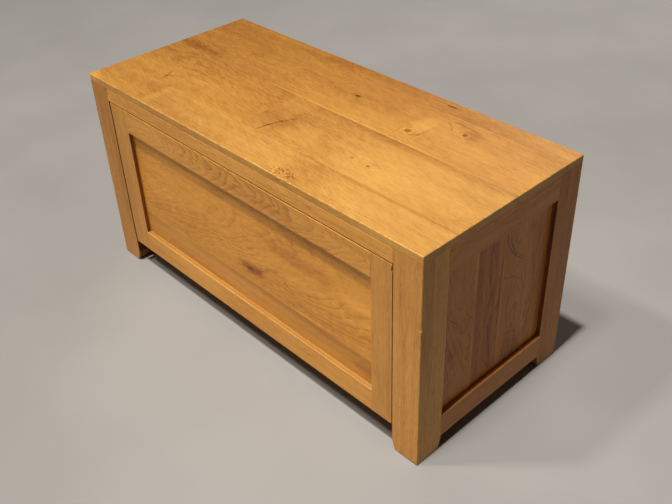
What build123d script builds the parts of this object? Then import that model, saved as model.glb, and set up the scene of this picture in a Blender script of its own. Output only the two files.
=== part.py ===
from build123d import *

import os
from math import asin, degrees, radians, sin, sqrt

# A low wooden chest with a fixed top and a framed front flap that drops forward on two butt hinges.
# Origin: centre of the footprint, on the floor. +X runs along the length, -Y is the front, +Z is up.
# All sizes are in millimetres.

# Overall size
chest_long = 1020
chest_deep = 448
chest_tall = 500

# Top, glued up from boards: rows from front to back, some with a butt joint along their length
top_thick = 16
top_round = 2.2
top_under_ease = 0.3
row_front = 88
row_middle = 159
row_rear = 153
butt_front = -310
butt_middle = -67

# Legs and their feet
leg_wide = 66
leg_deep = 68
outer_round = 2.2
inner_round = 1.0
foot_relief = 7.5
foot_rise = 28
glide_thick = 2.5
glide_radius = 18

# Rails, panels and joints of the fixed frame. The panels' glue lines are measured from the chest's front
# on the sides and from the floor on the back.
rail_thick = 24
rail_low = 34
bottom_rail_tall = 55
top_rail_tall = 54
panel_recess = 11
panel_thick = 8
groove_deep = 8
panel_tongue = 7
tenon_thick = 12
tenon_long = 30
tenon_shoulder = 8
slim_shoulder = 6
side_seams = (163, 238, 317)
back_seam = 258

# Flap
flap_thick = 24
flap_over_travel = 3
flap_low = 66
flap_high = 449.5
flap_gap_left = 4.5
flap_gap_right = 2
flap_stile_left = 60
flap_stile_right = 52
flap_bottom_rail = 54
flap_top_rail = 55.5
flap_recess = 10
flap_seam = 181
flap_tenon_long = 35
flap_tenon_shoulder = 10
flap_outer_round = 1.5
flap_stile_round = 0.8

# Front rails
front_rail_low = 451.5
front_rail_corner = 9
front_rail_face = 1.2
front_rail_ease = 1.1
stop_rail_thick = 22
stop_rail_low = 426
stop_rail_shoulder = 10
hidden_chamfer = 1

# Floor
floor_top = 63
floor_thick = 9
floor_gap = 0.5
bearer_wide = 22
bearer_spacing = 420
bearer_tenon = 10

# Butt hinges
hinge_y = -198
hinge_z = 65
hinge_spacing = 300
hinge_long = 60
hinge_knuckles = 5
knuckle_radius = 3.2
knuckle_gap = 0.1
knuckle_relief = 3.6
pin_radius = 1.5
pin_running_fit = 0.05
pin_chamfer = 0.4
leaf_thick = 1.6
leaf_reach = 23
leaf_screw_pitch = 20
leaf_screw_reach = 13.5

# Slotted stays
stay_radius = 150
stay_stud_y = -172
stay_pivot_y = -192
stay_arm_x = 437
stay_arm_thick = 2.5
stay_arm_wide = 14
stay_end = 4
stud_radius = 3
stud_clear = 0.3
stud_head_radius = 5.5
stud_head_thick = 1.5
stud_plate_thick = 2
stud_plate_wide = 28
stud_plate_tall = 36
plate_corner = 5
stud_plate_screw = 12
pivot_radius = 2.5
pivot_running_fit = 0.05
pivot_head_radius = 4
pivot_head_thick = 1.2
bracket_thick = 2
bracket_foot_tall = 32
bracket_upstand_tall = 18
bracket_upstand_past = 7
bracket_upstand_corner = 6
bracket_inner_x = 406
bracket_face_x = 434.5
bracket_screw_x = 413
bracket_screw_pitch = 18
stay_side_gap = 0.3

# Push latch
latch_z = 438
latch_radius = 6
latch_flange_radius = 8.5
latch_flange_thick = 1.5
latch_long = 42
latch_wall = 2
plunger_radius = 4
plunger_running_fit = 0.1
plunger_long = 22
plunger_gap = 0.2
spring_radius = 3.2
spring_wire = 0.35
spring_turns = 8
strike_radius = 8
strike_thick = 1.5
housing_chamfer = 0.8
plunger_chamfer = 0.5

# Screws
screw_shank = 1.6
screw_head = 3.2
screw_long = 16
cross_long = 3.2
cross_wide = 0.7
cross_deep = 1

# Marks of use: a knock on the front right leg's arris, a splinter missing from the flap's right edge
knock_radius = 9
knock_offset = 4.8
knock_z = 345
splinter_z = (433.5, 444.5)
splinter_wide = 1.8
splinter_deep = 2.5


def centred(low, high, size):
    """The middle stretch of a given size between two places."""
    return (low + high - size) / 2, (low + high + size) / 2


# Places that follow from the driving dimensions
side_x = chest_long / 2
back_y = chest_deep / 2
front_y = -back_y
top_under = chest_tall - top_thick
leg_x = side_x - leg_wide
leg_y = back_y - leg_deep
rail_x = side_x - rail_thick
rail_y = back_y - rail_thick
bottom_rail_z = (rail_low, rail_low + bottom_rail_tall)
top_rail_z = (top_under - top_rail_tall, top_under)
groove_z = (bottom_rail_z[1] - groove_deep, top_rail_z[0] + groove_deep)
bottom_tenon_z = (rail_low + tenon_shoulder, groove_z[0])
top_tenon_z = (groove_z[1], top_under - tenon_shoulder)
side_panel_x = (side_x - panel_recess - panel_thick, side_x - panel_recess)
side_tenon_x = centred(rail_x, side_x, tenon_thick)
back_panel_y = (back_y - panel_recess - panel_thick, back_y - panel_recess)
back_tenon_y = centred(rail_y, back_y, tenon_thick)

flap_back_y = front_y + flap_thick
front_rail_back_y = flap_back_y + flap_over_travel
stop_rail_back_y = front_rail_back_y + stop_rail_thick
bottom_rail_back_y = front_rail_back_y + rail_thick
front_tenon_y = centred(front_y, front_rail_back_y, tenon_thick)
front_tenon_z = (front_rail_low + slim_shoulder, top_under - slim_shoulder)
stop_tenon_y = centred(front_rail_back_y, stop_rail_back_y, tenon_thick)
stop_tenon_z = (stop_rail_low + stop_rail_shoulder, top_under - stop_rail_shoulder)
low_tenon_y = centred(front_rail_back_y, bottom_rail_back_y, tenon_thick)
low_tenon_z = (rail_low + slim_shoulder, floor_top - slim_shoulder)

flap_left = -leg_x + flap_gap_left
flap_right = leg_x - flap_gap_right
field_left = flap_left + flap_stile_left
field_right = flap_right - flap_stile_right
field_low = flap_low + flap_bottom_rail
field_high = flap_high - flap_top_rail
flap_panel_y = (front_y + flap_recess, front_y + flap_recess + panel_thick)
flap_tenon_low = (flap_low + flap_tenon_shoulder, field_low - groove_deep)
flap_tenon_high = (field_high + groove_deep, flap_high - flap_tenon_shoulder)

bearer_z = (rail_low, floor_top - floor_thick)
bearer_tenon_z = centred(*bearer_z, bearer_tenon)
hinge_places = (-hinge_spacing, hinge_spacing)
latch_front = front_rail_back_y


def ordered(pair):
    return min(pair), max(pair)


def block(x, y, z, mode=Mode.ADD):
    """A square-edged block between a low and a high place on each axis."""
    spans = [ordered(pair) for pair in (x, y, z)]
    centre = tuple((low + high) / 2 for low, high in spans)
    with Locations(centre):
        Box(*[high - low for low, high in spans], mode=mode)


def disc(plane, low, high, radius, mode=Mode.ADD):
    """A round bar or hole about a plane's normal, between two heights over the plane."""
    with BuildSketch(plane.offset(low)) as outline:
        Circle(radius)
    extrude(outline.sketch, amount=high - low, mode=mode)


def edges_at(body, axis, **places):
    """Edges parallel to an axis whose centres lie at the given coordinates."""
    picked = body.edges().filter_by(axis)
    for name, place in places.items():
        picked = picked.filter_by(lambda edge: abs(getattr(edge.center(), name) - place) < 0.01)
    return picked


def finish(piece, name):
    """Label a finished piece and write it to its own file."""
    piece.part.label = name
    export_step(piece.part, f"parts/{name}.step")


def wood_screw(with_cross):
    """Countersunk wood screw, its head flush with the origin and its point down -Z."""
    cone = screw_head - screw_shank
    tip = 2 * screw_shank
    with BuildPart() as screw:
        with BuildSketch(Plane.XZ):
            with BuildLine():
                Polyline(
                    (0, 0),
                    (screw_head, 0),
                    (screw_shank, -cone),
                    (screw_shank, tip - screw_long),
                    (0, -screw_long),
                    close=True,
                )
            make_face()
        revolve(axis=Axis.Z)
        if with_cross:
            for turn in (0, 90):
                with Locations(Location((0, 0, 0), (0, 0, turn))):
                    Box(cross_long, cross_wide, 2 * cross_deep, mode=Mode.SUBTRACT)
    return screw.part


def facing(direction, *points):
    """Planes at the given points, all facing one way."""
    return [Plane(origin=point, z_dir=direction) for point in points]


def drive_screws(name, places):
    with BuildPart() as group:
        with Locations(*places):
            add(crossed_screw)
    finish(group, name)


def drill(places):
    """Holes for screws, countersunk where the head sinks into the face."""
    with Locations(*places):
        add(plain_screw, mode=Mode.SUBTRACT)


os.makedirs("parts", exist_ok=True)
crossed_screw = wood_screw(True)
plain_screw = wood_screw(False)

# Places of the stay's stud on the leg and of its pivot on the flap, at equal distances from the hinge
stud_z = hinge_z + sqrt(stay_radius**2 - (stay_stud_y - hinge_y) ** 2)
pivot_z = hinge_z + sqrt(stay_radius**2 - (stay_pivot_y - hinge_y) ** 2)
closed_reach = sqrt((stay_stud_y - stay_pivot_y) ** 2 + (stud_z - pivot_z) ** 2)
closed_angle = 2 * degrees(asin(closed_reach / 2 / stay_radius))
open_reach = 2 * stay_radius * sin(radians((closed_angle + 90) / 2))

# Where the screws go, each plane facing out of the surface its head sits in
carcass_leaf_screws = facing(
    (0, -1, 0),
    *[
        (x + step * leaf_screw_pitch, front_rail_back_y, hinge_z - leaf_screw_reach)
        for x in hinge_places
        for step in (-1, 0, 1)
    ],
)
flap_leaf_screws = facing(
    (0, 0, -1),
    *[
        (x + step * leaf_screw_pitch, hinge_y - leaf_screw_reach, flap_low)
        for x in hinge_places
        for step in (-1, 0, 1)
    ],
)
stud_plate_screws = {
    side: facing(
        (-side, 0, 0),
        *[
            (side * (leg_x - stud_plate_thick), stay_stud_y, stud_z + step * stud_plate_screw)
            for step in (-1, 1)
        ],
    )
    for side in (-1, 1)
}
bracket_screws = {
    side: facing(
        (0, 1, 0),
        *[
            (side * bracket_screw_x, flap_back_y + bracket_thick, pivot_z + step * bracket_screw_pitch / 2)
            for step in (-1, 1)
        ],
    )
    for side in (-1, 1)
}


def top_board(name, x, y):
    """One board of the top. The whole top is eased round its edges, then cut to the board."""
    with BuildPart() as board:
        block((-side_x, side_x), (front_y, back_y), (top_under, chest_tall))
        fillet(board.faces().sort_by(Axis.Z)[-1].edges() + board.edges().filter_by(Axis.Z), top_round)
        chamfer(board.faces().sort_by(Axis.Z)[0].edges(), top_under_ease)
        block(x, y, (top_under, chest_tall), mode=Mode.INTERSECT)
    finish(board, name)


front_seam_y = front_y + row_front
middle_seam_y = front_seam_y + row_middle
rear_seam_y = middle_seam_y + row_rear
top_board("top_board_front_left", (-side_x, butt_front), (front_y, front_seam_y))
top_board("top_board_front_right", (butt_front, side_x), (front_y, front_seam_y))
top_board("top_board_middle_left", (-side_x, butt_middle), (front_seam_y, middle_seam_y))
top_board("top_board_middle_right", (butt_middle, side_x), (front_seam_y, middle_seam_y))
top_board("top_board_rear", (-side_x, side_x), (middle_seam_y, rear_seam_y))
top_board("top_board_back_edge", (-side_x, side_x), (rear_seam_y, back_y))


def leg(name, side, end):
    """A corner leg. side is -1 left or 1 right, end is -1 front or 1 back."""
    inner_x = side * leg_x
    inner_y = end * leg_y
    with BuildPart() as post:
        block((inner_x, side * side_x), (inner_y, end * back_y), (glide_thick, top_under))
        outer = edges_at(post, Axis.Z, X=side * side_x, Y=end * back_y)
        fillet(outer, outer_round)
        inner = edges_at(post, Axis.Z, X=inner_x) + edges_at(post, Axis.Z, Y=inner_y)
        fillet(inner, inner_round)

        # The foot is cut back in a slope on its two inner faces
        with BuildSketch(Plane.XZ):
            Polygon(
                (inner_x, glide_thick),
                (inner_x + side * foot_relief, glide_thick),
                (inner_x, foot_rise),
                align=None,
            )
        extrude(amount=chest_deep, both=True, mode=Mode.SUBTRACT)
        with BuildSketch(Plane.YZ):
            Polygon(
                (inner_y, glide_thick),
                (inner_y + end * foot_relief, glide_thick),
                (inner_y, foot_rise),
                align=None,
            )
        extrude(amount=chest_long, both=True, mode=Mode.SUBTRACT)

        # Side rails and side panel
        side_tenon = [side * x for x in side_tenon_x]
        tenon_y = (inner_y, inner_y + end * tenon_long)
        for tenon_z in (bottom_tenon_z, top_tenon_z):
            block(side_tenon, tenon_y, tenon_z, mode=Mode.SUBTRACT)
        side_groove = [side * x for x in side_panel_x]
        block(side_groove, (inner_y, inner_y + end * groove_deep), groove_z, mode=Mode.SUBTRACT)

        # Front rails, or back rails and back panel
        tenon_x = (inner_x, inner_x + side * tenon_long)
        if end < 0:
            block(tenon_x, front_tenon_y, front_tenon_z, mode=Mode.SUBTRACT)
            block(tenon_x, stop_tenon_y, stop_tenon_z, mode=Mode.SUBTRACT)
            block(tenon_x, low_tenon_y, low_tenon_z, mode=Mode.SUBTRACT)
            drill(stud_plate_screws[side])
        else:
            for tenon_z in (bottom_tenon_z, top_tenon_z):
                block(tenon_x, back_tenon_y, tenon_z, mode=Mode.SUBTRACT)
            back_groove = (inner_x, inner_x + side * groove_deep)
            block(back_groove, back_panel_y, groove_z, mode=Mode.SUBTRACT)

        if side > 0 and end < 0:
            with Locations((side_x + knock_offset, front_y - knock_offset, knock_z)):
                Sphere(knock_radius, mode=Mode.SUBTRACT)
    finish(post, name)


leg("front_left_leg", -1, -1)
leg("front_right_leg", 1, -1)
leg("back_left_leg", -1, 1)
leg("back_right_leg", 1, 1)


def side_rail(name, side, rail_z, tenon_z, panel_edge, groove_end):
    """A rail between a front and a back leg, grooved for the side panel along one edge."""
    with BuildPart() as rail:
        block((side * rail_x, side * side_x), (-leg_y, leg_y), rail_z)
        fillet(edges_at(rail, Axis.Y, X=side * side_x, Z=panel_edge), inner_round)
        tenon_y = (-leg_y - tenon_long, leg_y + tenon_long)
        block([side * x for x in side_tenon_x], tenon_y, tenon_z)
        groove_x = [side * x for x in side_panel_x]
        block(groove_x, (-leg_y, leg_y), (panel_edge, groove_end), mode=Mode.SUBTRACT)
    finish(rail, name)


def side_panel(side_name, side):
    """The upright boards that fill the frame on one side, glued edge to edge."""
    glue_lines = [front_y + seam for seam in side_seams]
    starts = [-leg_y - panel_tongue, *glue_lines]
    ends = [*glue_lines, leg_y + panel_tongue]
    panel_z = (bottom_rail_z[1] - panel_tongue, top_rail_z[0] + panel_tongue)
    for count, board_y in enumerate(zip(starts, ends)):
        with BuildPart() as board:
            block([side * x for x in side_panel_x], board_y, panel_z)
        finish(board, f"{side_name}_panel_board_{count + 1}")


for side_name, side in (("left", -1), ("right", 1)):
    side_rail(f"{side_name}_top_rail", side, top_rail_z, top_tenon_z, top_rail_z[0], groove_z[1])
    side_rail(f"{side_name}_bottom_rail", side, bottom_rail_z, bottom_tenon_z, bottom_rail_z[1], groove_z[0])
    side_panel(side_name, side)


def cut_bearer_mortises(y):
    """The three mortises that take the floor bearers' tenons."""
    for x in (-bearer_spacing, 0, bearer_spacing):
        block((x - bearer_tenon / 2, x + bearer_tenon / 2), y, bearer_tenon_z, mode=Mode.SUBTRACT)


def back_rail(name, rail_z, tenon_z, panel_edge, groove_end):
    """A rail between the back legs, grooved for the back panel along one edge."""
    with BuildPart() as rail:
        block((-leg_x, leg_x), (rail_y, back_y), rail_z)
        fillet(edges_at(rail, Axis.X, Y=back_y, Z=panel_edge), inner_round)
        block((-leg_x - tenon_long, leg_x + tenon_long), back_tenon_y, tenon_z)
        block((-leg_x, leg_x), back_panel_y, (panel_edge, groove_end), mode=Mode.SUBTRACT)
        if rail_z == bottom_rail_z:
            cut_bearer_mortises((rail_y, rail_y + bearer_tenon))
    finish(rail, name)


back_rail("back_top_rail", top_rail_z, top_tenon_z, top_rail_z[0], groove_z[1])
back_rail("back_bottom_rail", bottom_rail_z, bottom_tenon_z, bottom_rail_z[1], groove_z[0])

for name, panel_z in (
    ("back_panel_lower_board", (bottom_rail_z[1] - panel_tongue, back_seam)),
    ("back_panel_upper_board", (back_seam, top_rail_z[0] + panel_tongue)),
):
    with BuildPart() as board:
        block((-leg_x - panel_tongue, leg_x + panel_tongue), back_panel_y, panel_z)
    finish(board, name)

# Front top rail: its face is a thin raised field with rounded upper corners
with BuildPart() as front_top_rail:
    block((-leg_x, leg_x), (front_y + front_rail_face, front_rail_back_y), (front_rail_low, top_under))
    with BuildSketch(Plane.XZ.offset(-front_y - front_rail_face)):
        with Locations((0, (front_rail_low + top_under) / 2)):
            face_field = Rectangle(2 * leg_x, top_under - front_rail_low)
        fillet(face_field.vertices().group_by(Axis.Y)[-1], front_rail_corner)
    extrude(amount=front_rail_face)
    chamfer(front_top_rail.faces().sort_by(Axis.Y)[0].edges(), front_rail_ease)
    block((-leg_x - tenon_long, leg_x + tenon_long), front_tenon_y, front_tenon_z)
finish(front_top_rail, "front_top_rail")

# Stop rail behind the flap's upper edge; the push latch is let into its middle
latch_plane = Plane(origin=(0, latch_front, latch_z), z_dir=(0, 1, 0))
with BuildPart() as flap_stop_rail:
    block((-leg_x, leg_x), (front_rail_back_y, stop_rail_back_y), (stop_rail_low, top_under))
    chamfer(edges_at(flap_stop_rail, Axis.X, Z=stop_rail_low), hidden_chamfer)
    block((-leg_x - tenon_long, leg_x + tenon_long), stop_tenon_y, stop_tenon_z)
    disc(latch_plane, 0, latch_flange_thick, latch_flange_radius, mode=Mode.SUBTRACT)
    disc(latch_plane, 0, stop_rail_thick, latch_radius, mode=Mode.SUBTRACT)
finish(flap_stop_rail, "flap_stop_rail")


def cut_hinge_seat(plate_y, plate_z):
    """The shallow seat for a hinge leaf, with a hollow that clears its knuckles."""
    for x in hinge_places:
        span = (x - hinge_long / 2, x + hinge_long / 2)
        block(span, plate_y, plate_z, mode=Mode.SUBTRACT)
        knuckle_plane = Plane(origin=(x, hinge_y, hinge_z), z_dir=(1, 0, 0))
        disc(knuckle_plane, -hinge_long / 2, hinge_long / 2, knuckle_relief, mode=Mode.SUBTRACT)


carcass_seat_y = (front_rail_back_y, front_rail_back_y + leaf_thick)
carcass_seat_z = (hinge_z - leaf_reach, floor_top)
flap_seat_y = (hinge_y - leaf_reach, flap_back_y)
flap_seat_z = (flap_low, flap_low + leaf_thick)

# Front bottom rail behind the flap's lower edge, which carries the hinges and the floor
with BuildPart() as front_bottom_rail:
    block((-leg_x, leg_x), (front_rail_back_y, bottom_rail_back_y), (rail_low, floor_top))
    chamfer(edges_at(front_bottom_rail, Axis.X, Z=rail_low), hidden_chamfer)
    block((-leg_x - tenon_long, leg_x + tenon_long), low_tenon_y, low_tenon_z)
    cut_bearer_mortises((bottom_rail_back_y - bearer_tenon, bottom_rail_back_y))
    cut_hinge_seat(carcass_seat_y, carcass_seat_z)
    drill(carcass_leaf_screws)
finish(front_bottom_rail, "front_bottom_rail")

# Floor: three bearers from front to back, and a panel notched round the legs
for place, x in (("left", -bearer_spacing), ("middle", 0), ("right", bearer_spacing)):
    with BuildPart() as bearer:
        block((x - bearer_wide / 2, x + bearer_wide / 2), (bottom_rail_back_y, rail_y), bearer_z)
        tenon_y = (bottom_rail_back_y - bearer_tenon, rail_y + bearer_tenon)
        block((x - bearer_tenon / 2, x + bearer_tenon / 2), tenon_y, bearer_tenon_z)
    finish(bearer, f"floor_bearer_{place}")

with BuildPart() as floor_panel:
    floor_x = rail_x - floor_gap
    floor_z = (floor_top - floor_thick, floor_top)
    block((-floor_x, floor_x), (bottom_rail_back_y + floor_gap, rail_y - floor_gap), floor_z)
    for side in (-1, 1):
        for end in (-1, 1):
            notch_x = (side * (leg_x - floor_gap), side * side_x)
            notch_y = (end * (leg_y - floor_gap), end * back_y)
            block(notch_x, notch_y, floor_z, mode=Mode.SUBTRACT)
finish(floor_panel, "floor_panel")


def flap_stile(name, outer, inner, bracket_side):
    """An upright of the flap, mortised for both rails and grooved for the panel."""
    inward = 1 if inner > outer else -1
    with BuildPart() as stile:
        block((outer, inner), (front_y, flap_back_y), (flap_low, flap_high))
        fillet(edges_at(stile, Axis.Z, X=outer, Y=front_y), flap_outer_round)
        fillet(edges_at(stile, Axis.Z, X=inner, Y=front_y), flap_stile_round)
        fillet(edges_at(stile, Axis.X, Y=front_y), flap_stile_round)
        for tenon_z in (flap_tenon_low, flap_tenon_high):
            block((inner, inner - inward * flap_tenon_long), flap_panel_y, tenon_z, mode=Mode.SUBTRACT)
        groove = (flap_tenon_low[1], flap_tenon_high[0])
        block((inner, inner - inward * groove_deep), flap_panel_y, groove, mode=Mode.SUBTRACT)
        drill(bracket_screws[bracket_side])
        if bracket_side > 0:
            splinter_x = (outer - splinter_wide, outer)
            block(splinter_x, (front_y, front_y + splinter_deep), splinter_z, mode=Mode.SUBTRACT)
    finish(stile, name)


flap_stile("flap_left_stile", flap_left, field_left, -1)
flap_stile("flap_right_stile", flap_right, field_right, 1)


strike_plane = Plane(origin=(0, flap_back_y, latch_z), z_dir=(0, -1, 0))


def cut_strike_seat():
    disc(strike_plane, 0, strike_thick, strike_radius, mode=Mode.SUBTRACT)


def cut_flap_hinge_seats():
    cut_hinge_seat(flap_seat_y, flap_seat_z)
    drill(flap_leaf_screws)


def flap_rail(name, rail_z, tenon_z, groove_z, cut_fittings):
    """A rail of the flap between its stiles, with the seats of whatever is fitted to it."""
    with BuildPart() as rail:
        block((field_left, field_right), (front_y, flap_back_y), rail_z)
        fillet(edges_at(rail, Axis.X, Y=front_y), inner_round)
        block((field_left - flap_tenon_long, field_right + flap_tenon_long), flap_panel_y, tenon_z)
        block((field_left, field_right), flap_panel_y, groove_z, mode=Mode.SUBTRACT)
        cut_fittings()
    finish(rail, name)


flap_groove_high = (field_high, flap_tenon_high[0])
flap_groove_low = (flap_tenon_low[1], field_low)
flap_rail("flap_top_rail", (field_high, flap_high), flap_tenon_high, flap_groove_high, cut_strike_seat)
flap_rail("flap_bottom_rail", (flap_low, field_low), flap_tenon_low, flap_groove_low, cut_flap_hinge_seats)

for name, panel_z in (
    ("flap_panel_lower_board", (field_low - panel_tongue, flap_seam)),
    ("flap_panel_upper_board", (flap_seam, field_high + panel_tongue)),
):
    with BuildPart() as board:
        block((field_left - panel_tongue, field_right + panel_tongue), flap_panel_y, panel_z)
    finish(board, name)


def hinge_leaf(name, x, plate_y, plate_z, web_y, web_z, own_knuckles, bore, screws):
    """One leaf of a butt hinge: a plate with every second knuckle rolled on its edge."""
    start = x - hinge_long / 2
    pitch = hinge_long / hinge_knuckles
    with BuildPart() as leaf:
        block((start, start + hinge_long), plate_y, plate_z)
        for knuckle in own_knuckles:
            span = (start + knuckle * pitch + knuckle_gap, start + (knuckle + 1) * pitch - knuckle_gap)
            block(span, web_y, web_z)
            knuckle_plane = Plane(origin=(span[0], hinge_y, hinge_z), z_dir=(1, 0, 0))
            disc(knuckle_plane, 0, span[1] - span[0], knuckle_radius)
        bore_plane = Plane(origin=(start, hinge_y, hinge_z), z_dir=(1, 0, 0))
        disc(bore_plane, 0, hinge_long, bore, mode=Mode.SUBTRACT)
        drill(screws)
    finish(leaf, name)


for side_name, x in zip(("left", "right"), hinge_places):
    hinge_leaf(
        f"{side_name}_hinge_carcass_leaf",
        x,
        carcass_seat_y,
        (hinge_z - leaf_reach, hinge_z - knuckle_relief),
        carcass_seat_y,
        (hinge_z - knuckle_relief, hinge_z),
        (0, 2, 4),
        pin_radius,
        [plane for plane in carcass_leaf_screws if abs(plane.origin.X - x) < hinge_long / 2],
    )
    hinge_leaf(
        f"{side_name}_hinge_flap_leaf",
        x,
        (hinge_y - leaf_reach, hinge_y - knuckle_relief),
        flap_seat_z,
        (hinge_y - knuckle_relief, hinge_y),
        flap_seat_z,
        (1, 3),
        pin_radius + pin_running_fit,
        [plane for plane in flap_leaf_screws if abs(plane.origin.X - x) < hinge_long / 2],
    )
    pin_plane = Plane(origin=(x, hinge_y, hinge_z), z_dir=(1, 0, 0))
    with BuildPart() as hinge_pin:
        disc(pin_plane, -hinge_long / 2, hinge_long / 2, pin_radius)
        chamfer(hinge_pin.edges(), pin_chamfer)
    finish(hinge_pin, f"{side_name}_hinge_pin")


def stay(side_name, side):
    """A slotted stay: an arm that turns on the flap's bracket and slides over a stud on the leg."""
    arm_plane = Plane(
        origin=(side * stay_arm_x, stay_pivot_y, pivot_z),
        x_dir=(0, stay_stud_y - stay_pivot_y, stud_z - pivot_z),
        z_dir=(side, 0, 0),
    )
    arm_long = open_reach + stay_end
    slot_long = open_reach - closed_reach
    with BuildPart() as arm:
        with BuildSketch(arm_plane):
            with Locations((arm_long / 2, 0)):
                SlotCenterToCenter(arm_long, stay_arm_wide)
            with Locations(((closed_reach + open_reach) / 2, 0)):
                SlotCenterToCenter(slot_long, 2 * (stud_radius + stud_clear), mode=Mode.SUBTRACT)
            Circle(pivot_radius + pivot_running_fit, mode=Mode.SUBTRACT)
        extrude(amount=stay_arm_thick / 2, both=True)
    finish(arm, f"{side_name}_stay_arm")

    # Heights over the leg's inner face: the arm's outer side, and the end of the stud
    arm_outer = leg_x - stay_arm_x - stay_arm_thick / 2
    stud_tip = arm_outer + stay_arm_thick + stay_side_gap
    leg_plane = Plane(origin=(side * leg_x, stay_stud_y, stud_z), x_dir=(0, 1, 0), z_dir=(-side, 0, 0))
    with BuildPart() as stud_plate:
        with BuildSketch(leg_plane):
            RectangleRounded(stud_plate_wide, stud_plate_tall, plate_corner)
        extrude(amount=stud_plate_thick)
        disc(leg_plane, stud_plate_thick, arm_outer - stay_side_gap, stud_head_radius)
        disc(leg_plane, stud_plate_thick, stud_tip, stud_radius)
        disc(leg_plane, stud_tip, stud_tip + stud_head_thick, stud_head_radius)
        drill(stud_plate_screws[side])
    finish(stud_plate, f"{side_name}_stay_stud_plate")

    # The flap's bracket: a foot on the flap's inner face and an upstand that holds the pivot
    pivot_plane = Plane(origin=(side * bracket_face_x, stay_pivot_y, pivot_z), z_dir=(side, 0, 0))
    arm_near = stay_arm_x - stay_arm_thick / 2 - bracket_face_x
    pivot_tip = arm_near + stay_arm_thick + stay_side_gap
    foot_x = (side * bracket_inner_x, side * bracket_face_x)
    foot_z = centred(pivot_z, pivot_z, bracket_foot_tall)
    upstand_x = (side * (bracket_face_x - bracket_thick), side * bracket_face_x)
    upstand_z = centred(pivot_z, pivot_z, bracket_upstand_tall)
    upstand_end_y = stay_pivot_y + bracket_upstand_past
    with BuildPart() as bracket:
        block(foot_x, (flap_back_y, flap_back_y + bracket_thick), foot_z)
        fillet(edges_at(bracket, Axis.Y, X=side * bracket_inner_x), plate_corner)
        block(upstand_x, (flap_back_y, upstand_end_y), upstand_z)
        fillet(edges_at(bracket, Axis.X, Y=upstand_end_y), bracket_upstand_corner)
        disc(pivot_plane, 0, arm_near - stay_side_gap, pivot_head_radius)
        disc(pivot_plane, 0, pivot_tip, pivot_radius)
        disc(pivot_plane, pivot_tip, pivot_tip + pivot_head_thick, pivot_head_radius)
        drill(bracket_screws[side])
    finish(bracket, f"{side_name}_stay_flap_bracket")


stay("left", -1)
stay("right", 1)

# Push latch: a sprung plunger in a sleeve, and a steel disc on the flap for its tip
plunger_back = plunger_long - flap_over_travel + plunger_gap
with BuildPart() as latch_housing:
    disc(latch_plane, 0, latch_flange_thick, latch_flange_radius)
    disc(latch_plane, 0, latch_long, latch_radius)
    bore = plunger_radius + plunger_running_fit
    disc(latch_plane, 0, latch_long - latch_wall, bore, mode=Mode.SUBTRACT)
    chamfer(latch_housing.faces().sort_by(Axis.Y)[-1].edges(), housing_chamfer)
finish(latch_housing, "latch_housing")

with BuildPart() as latch_plunger:
    disc(latch_plane, plunger_back - plunger_long, plunger_back, plunger_radius)
    chamfer(latch_plunger.edges(), plunger_chamfer)
finish(latch_plunger, "latch_plunger")

spring_room = latch_long - latch_wall - plunger_back - 2 * spring_wire
with BuildPart() as latch_spring:
    with BuildLine():
        coil = Helix(
            pitch=spring_room / spring_turns,
            height=spring_room,
            radius=spring_radius,
            center=(0, latch_front + plunger_back + spring_wire, latch_z),
            direction=(0, 1, 0),
        )
    with BuildSketch(Plane(origin=coil @ 0, z_dir=coil % 0)):
        Circle(spring_wire)
    sweep()
finish(latch_spring, "latch_spring")

with BuildPart() as latch_strike:
    disc(strike_plane, 0, strike_thick, strike_radius)
finish(latch_strike, "latch_strike")

drive_screws("hinge_screws_carcass", carcass_leaf_screws)
drive_screws("hinge_screws_flap", flap_leaf_screws)
drive_screws("stay_screws_carcass", stud_plate_screws[-1] + stud_plate_screws[1])
drive_screws("stay_screws_flap", bracket_screws[-1] + bracket_screws[1])

# Felt glides, one under the middle of each foot
with BuildPart() as felt_glides:
    glide_x = (leg_x + foot_relief + side_x) / 2
    glide_y = (leg_y + foot_relief + back_y) / 2
    for side in (-1, 1):
        for end in (-1, 1):
            disc(Plane(origin=(side * glide_x, end * glide_y, 0)), 0, glide_thick, glide_radius)
finish(felt_glides, "felt_glides")
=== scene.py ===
import math

import bmesh
import bpy
from mathutils import Matrix, Vector


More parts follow.
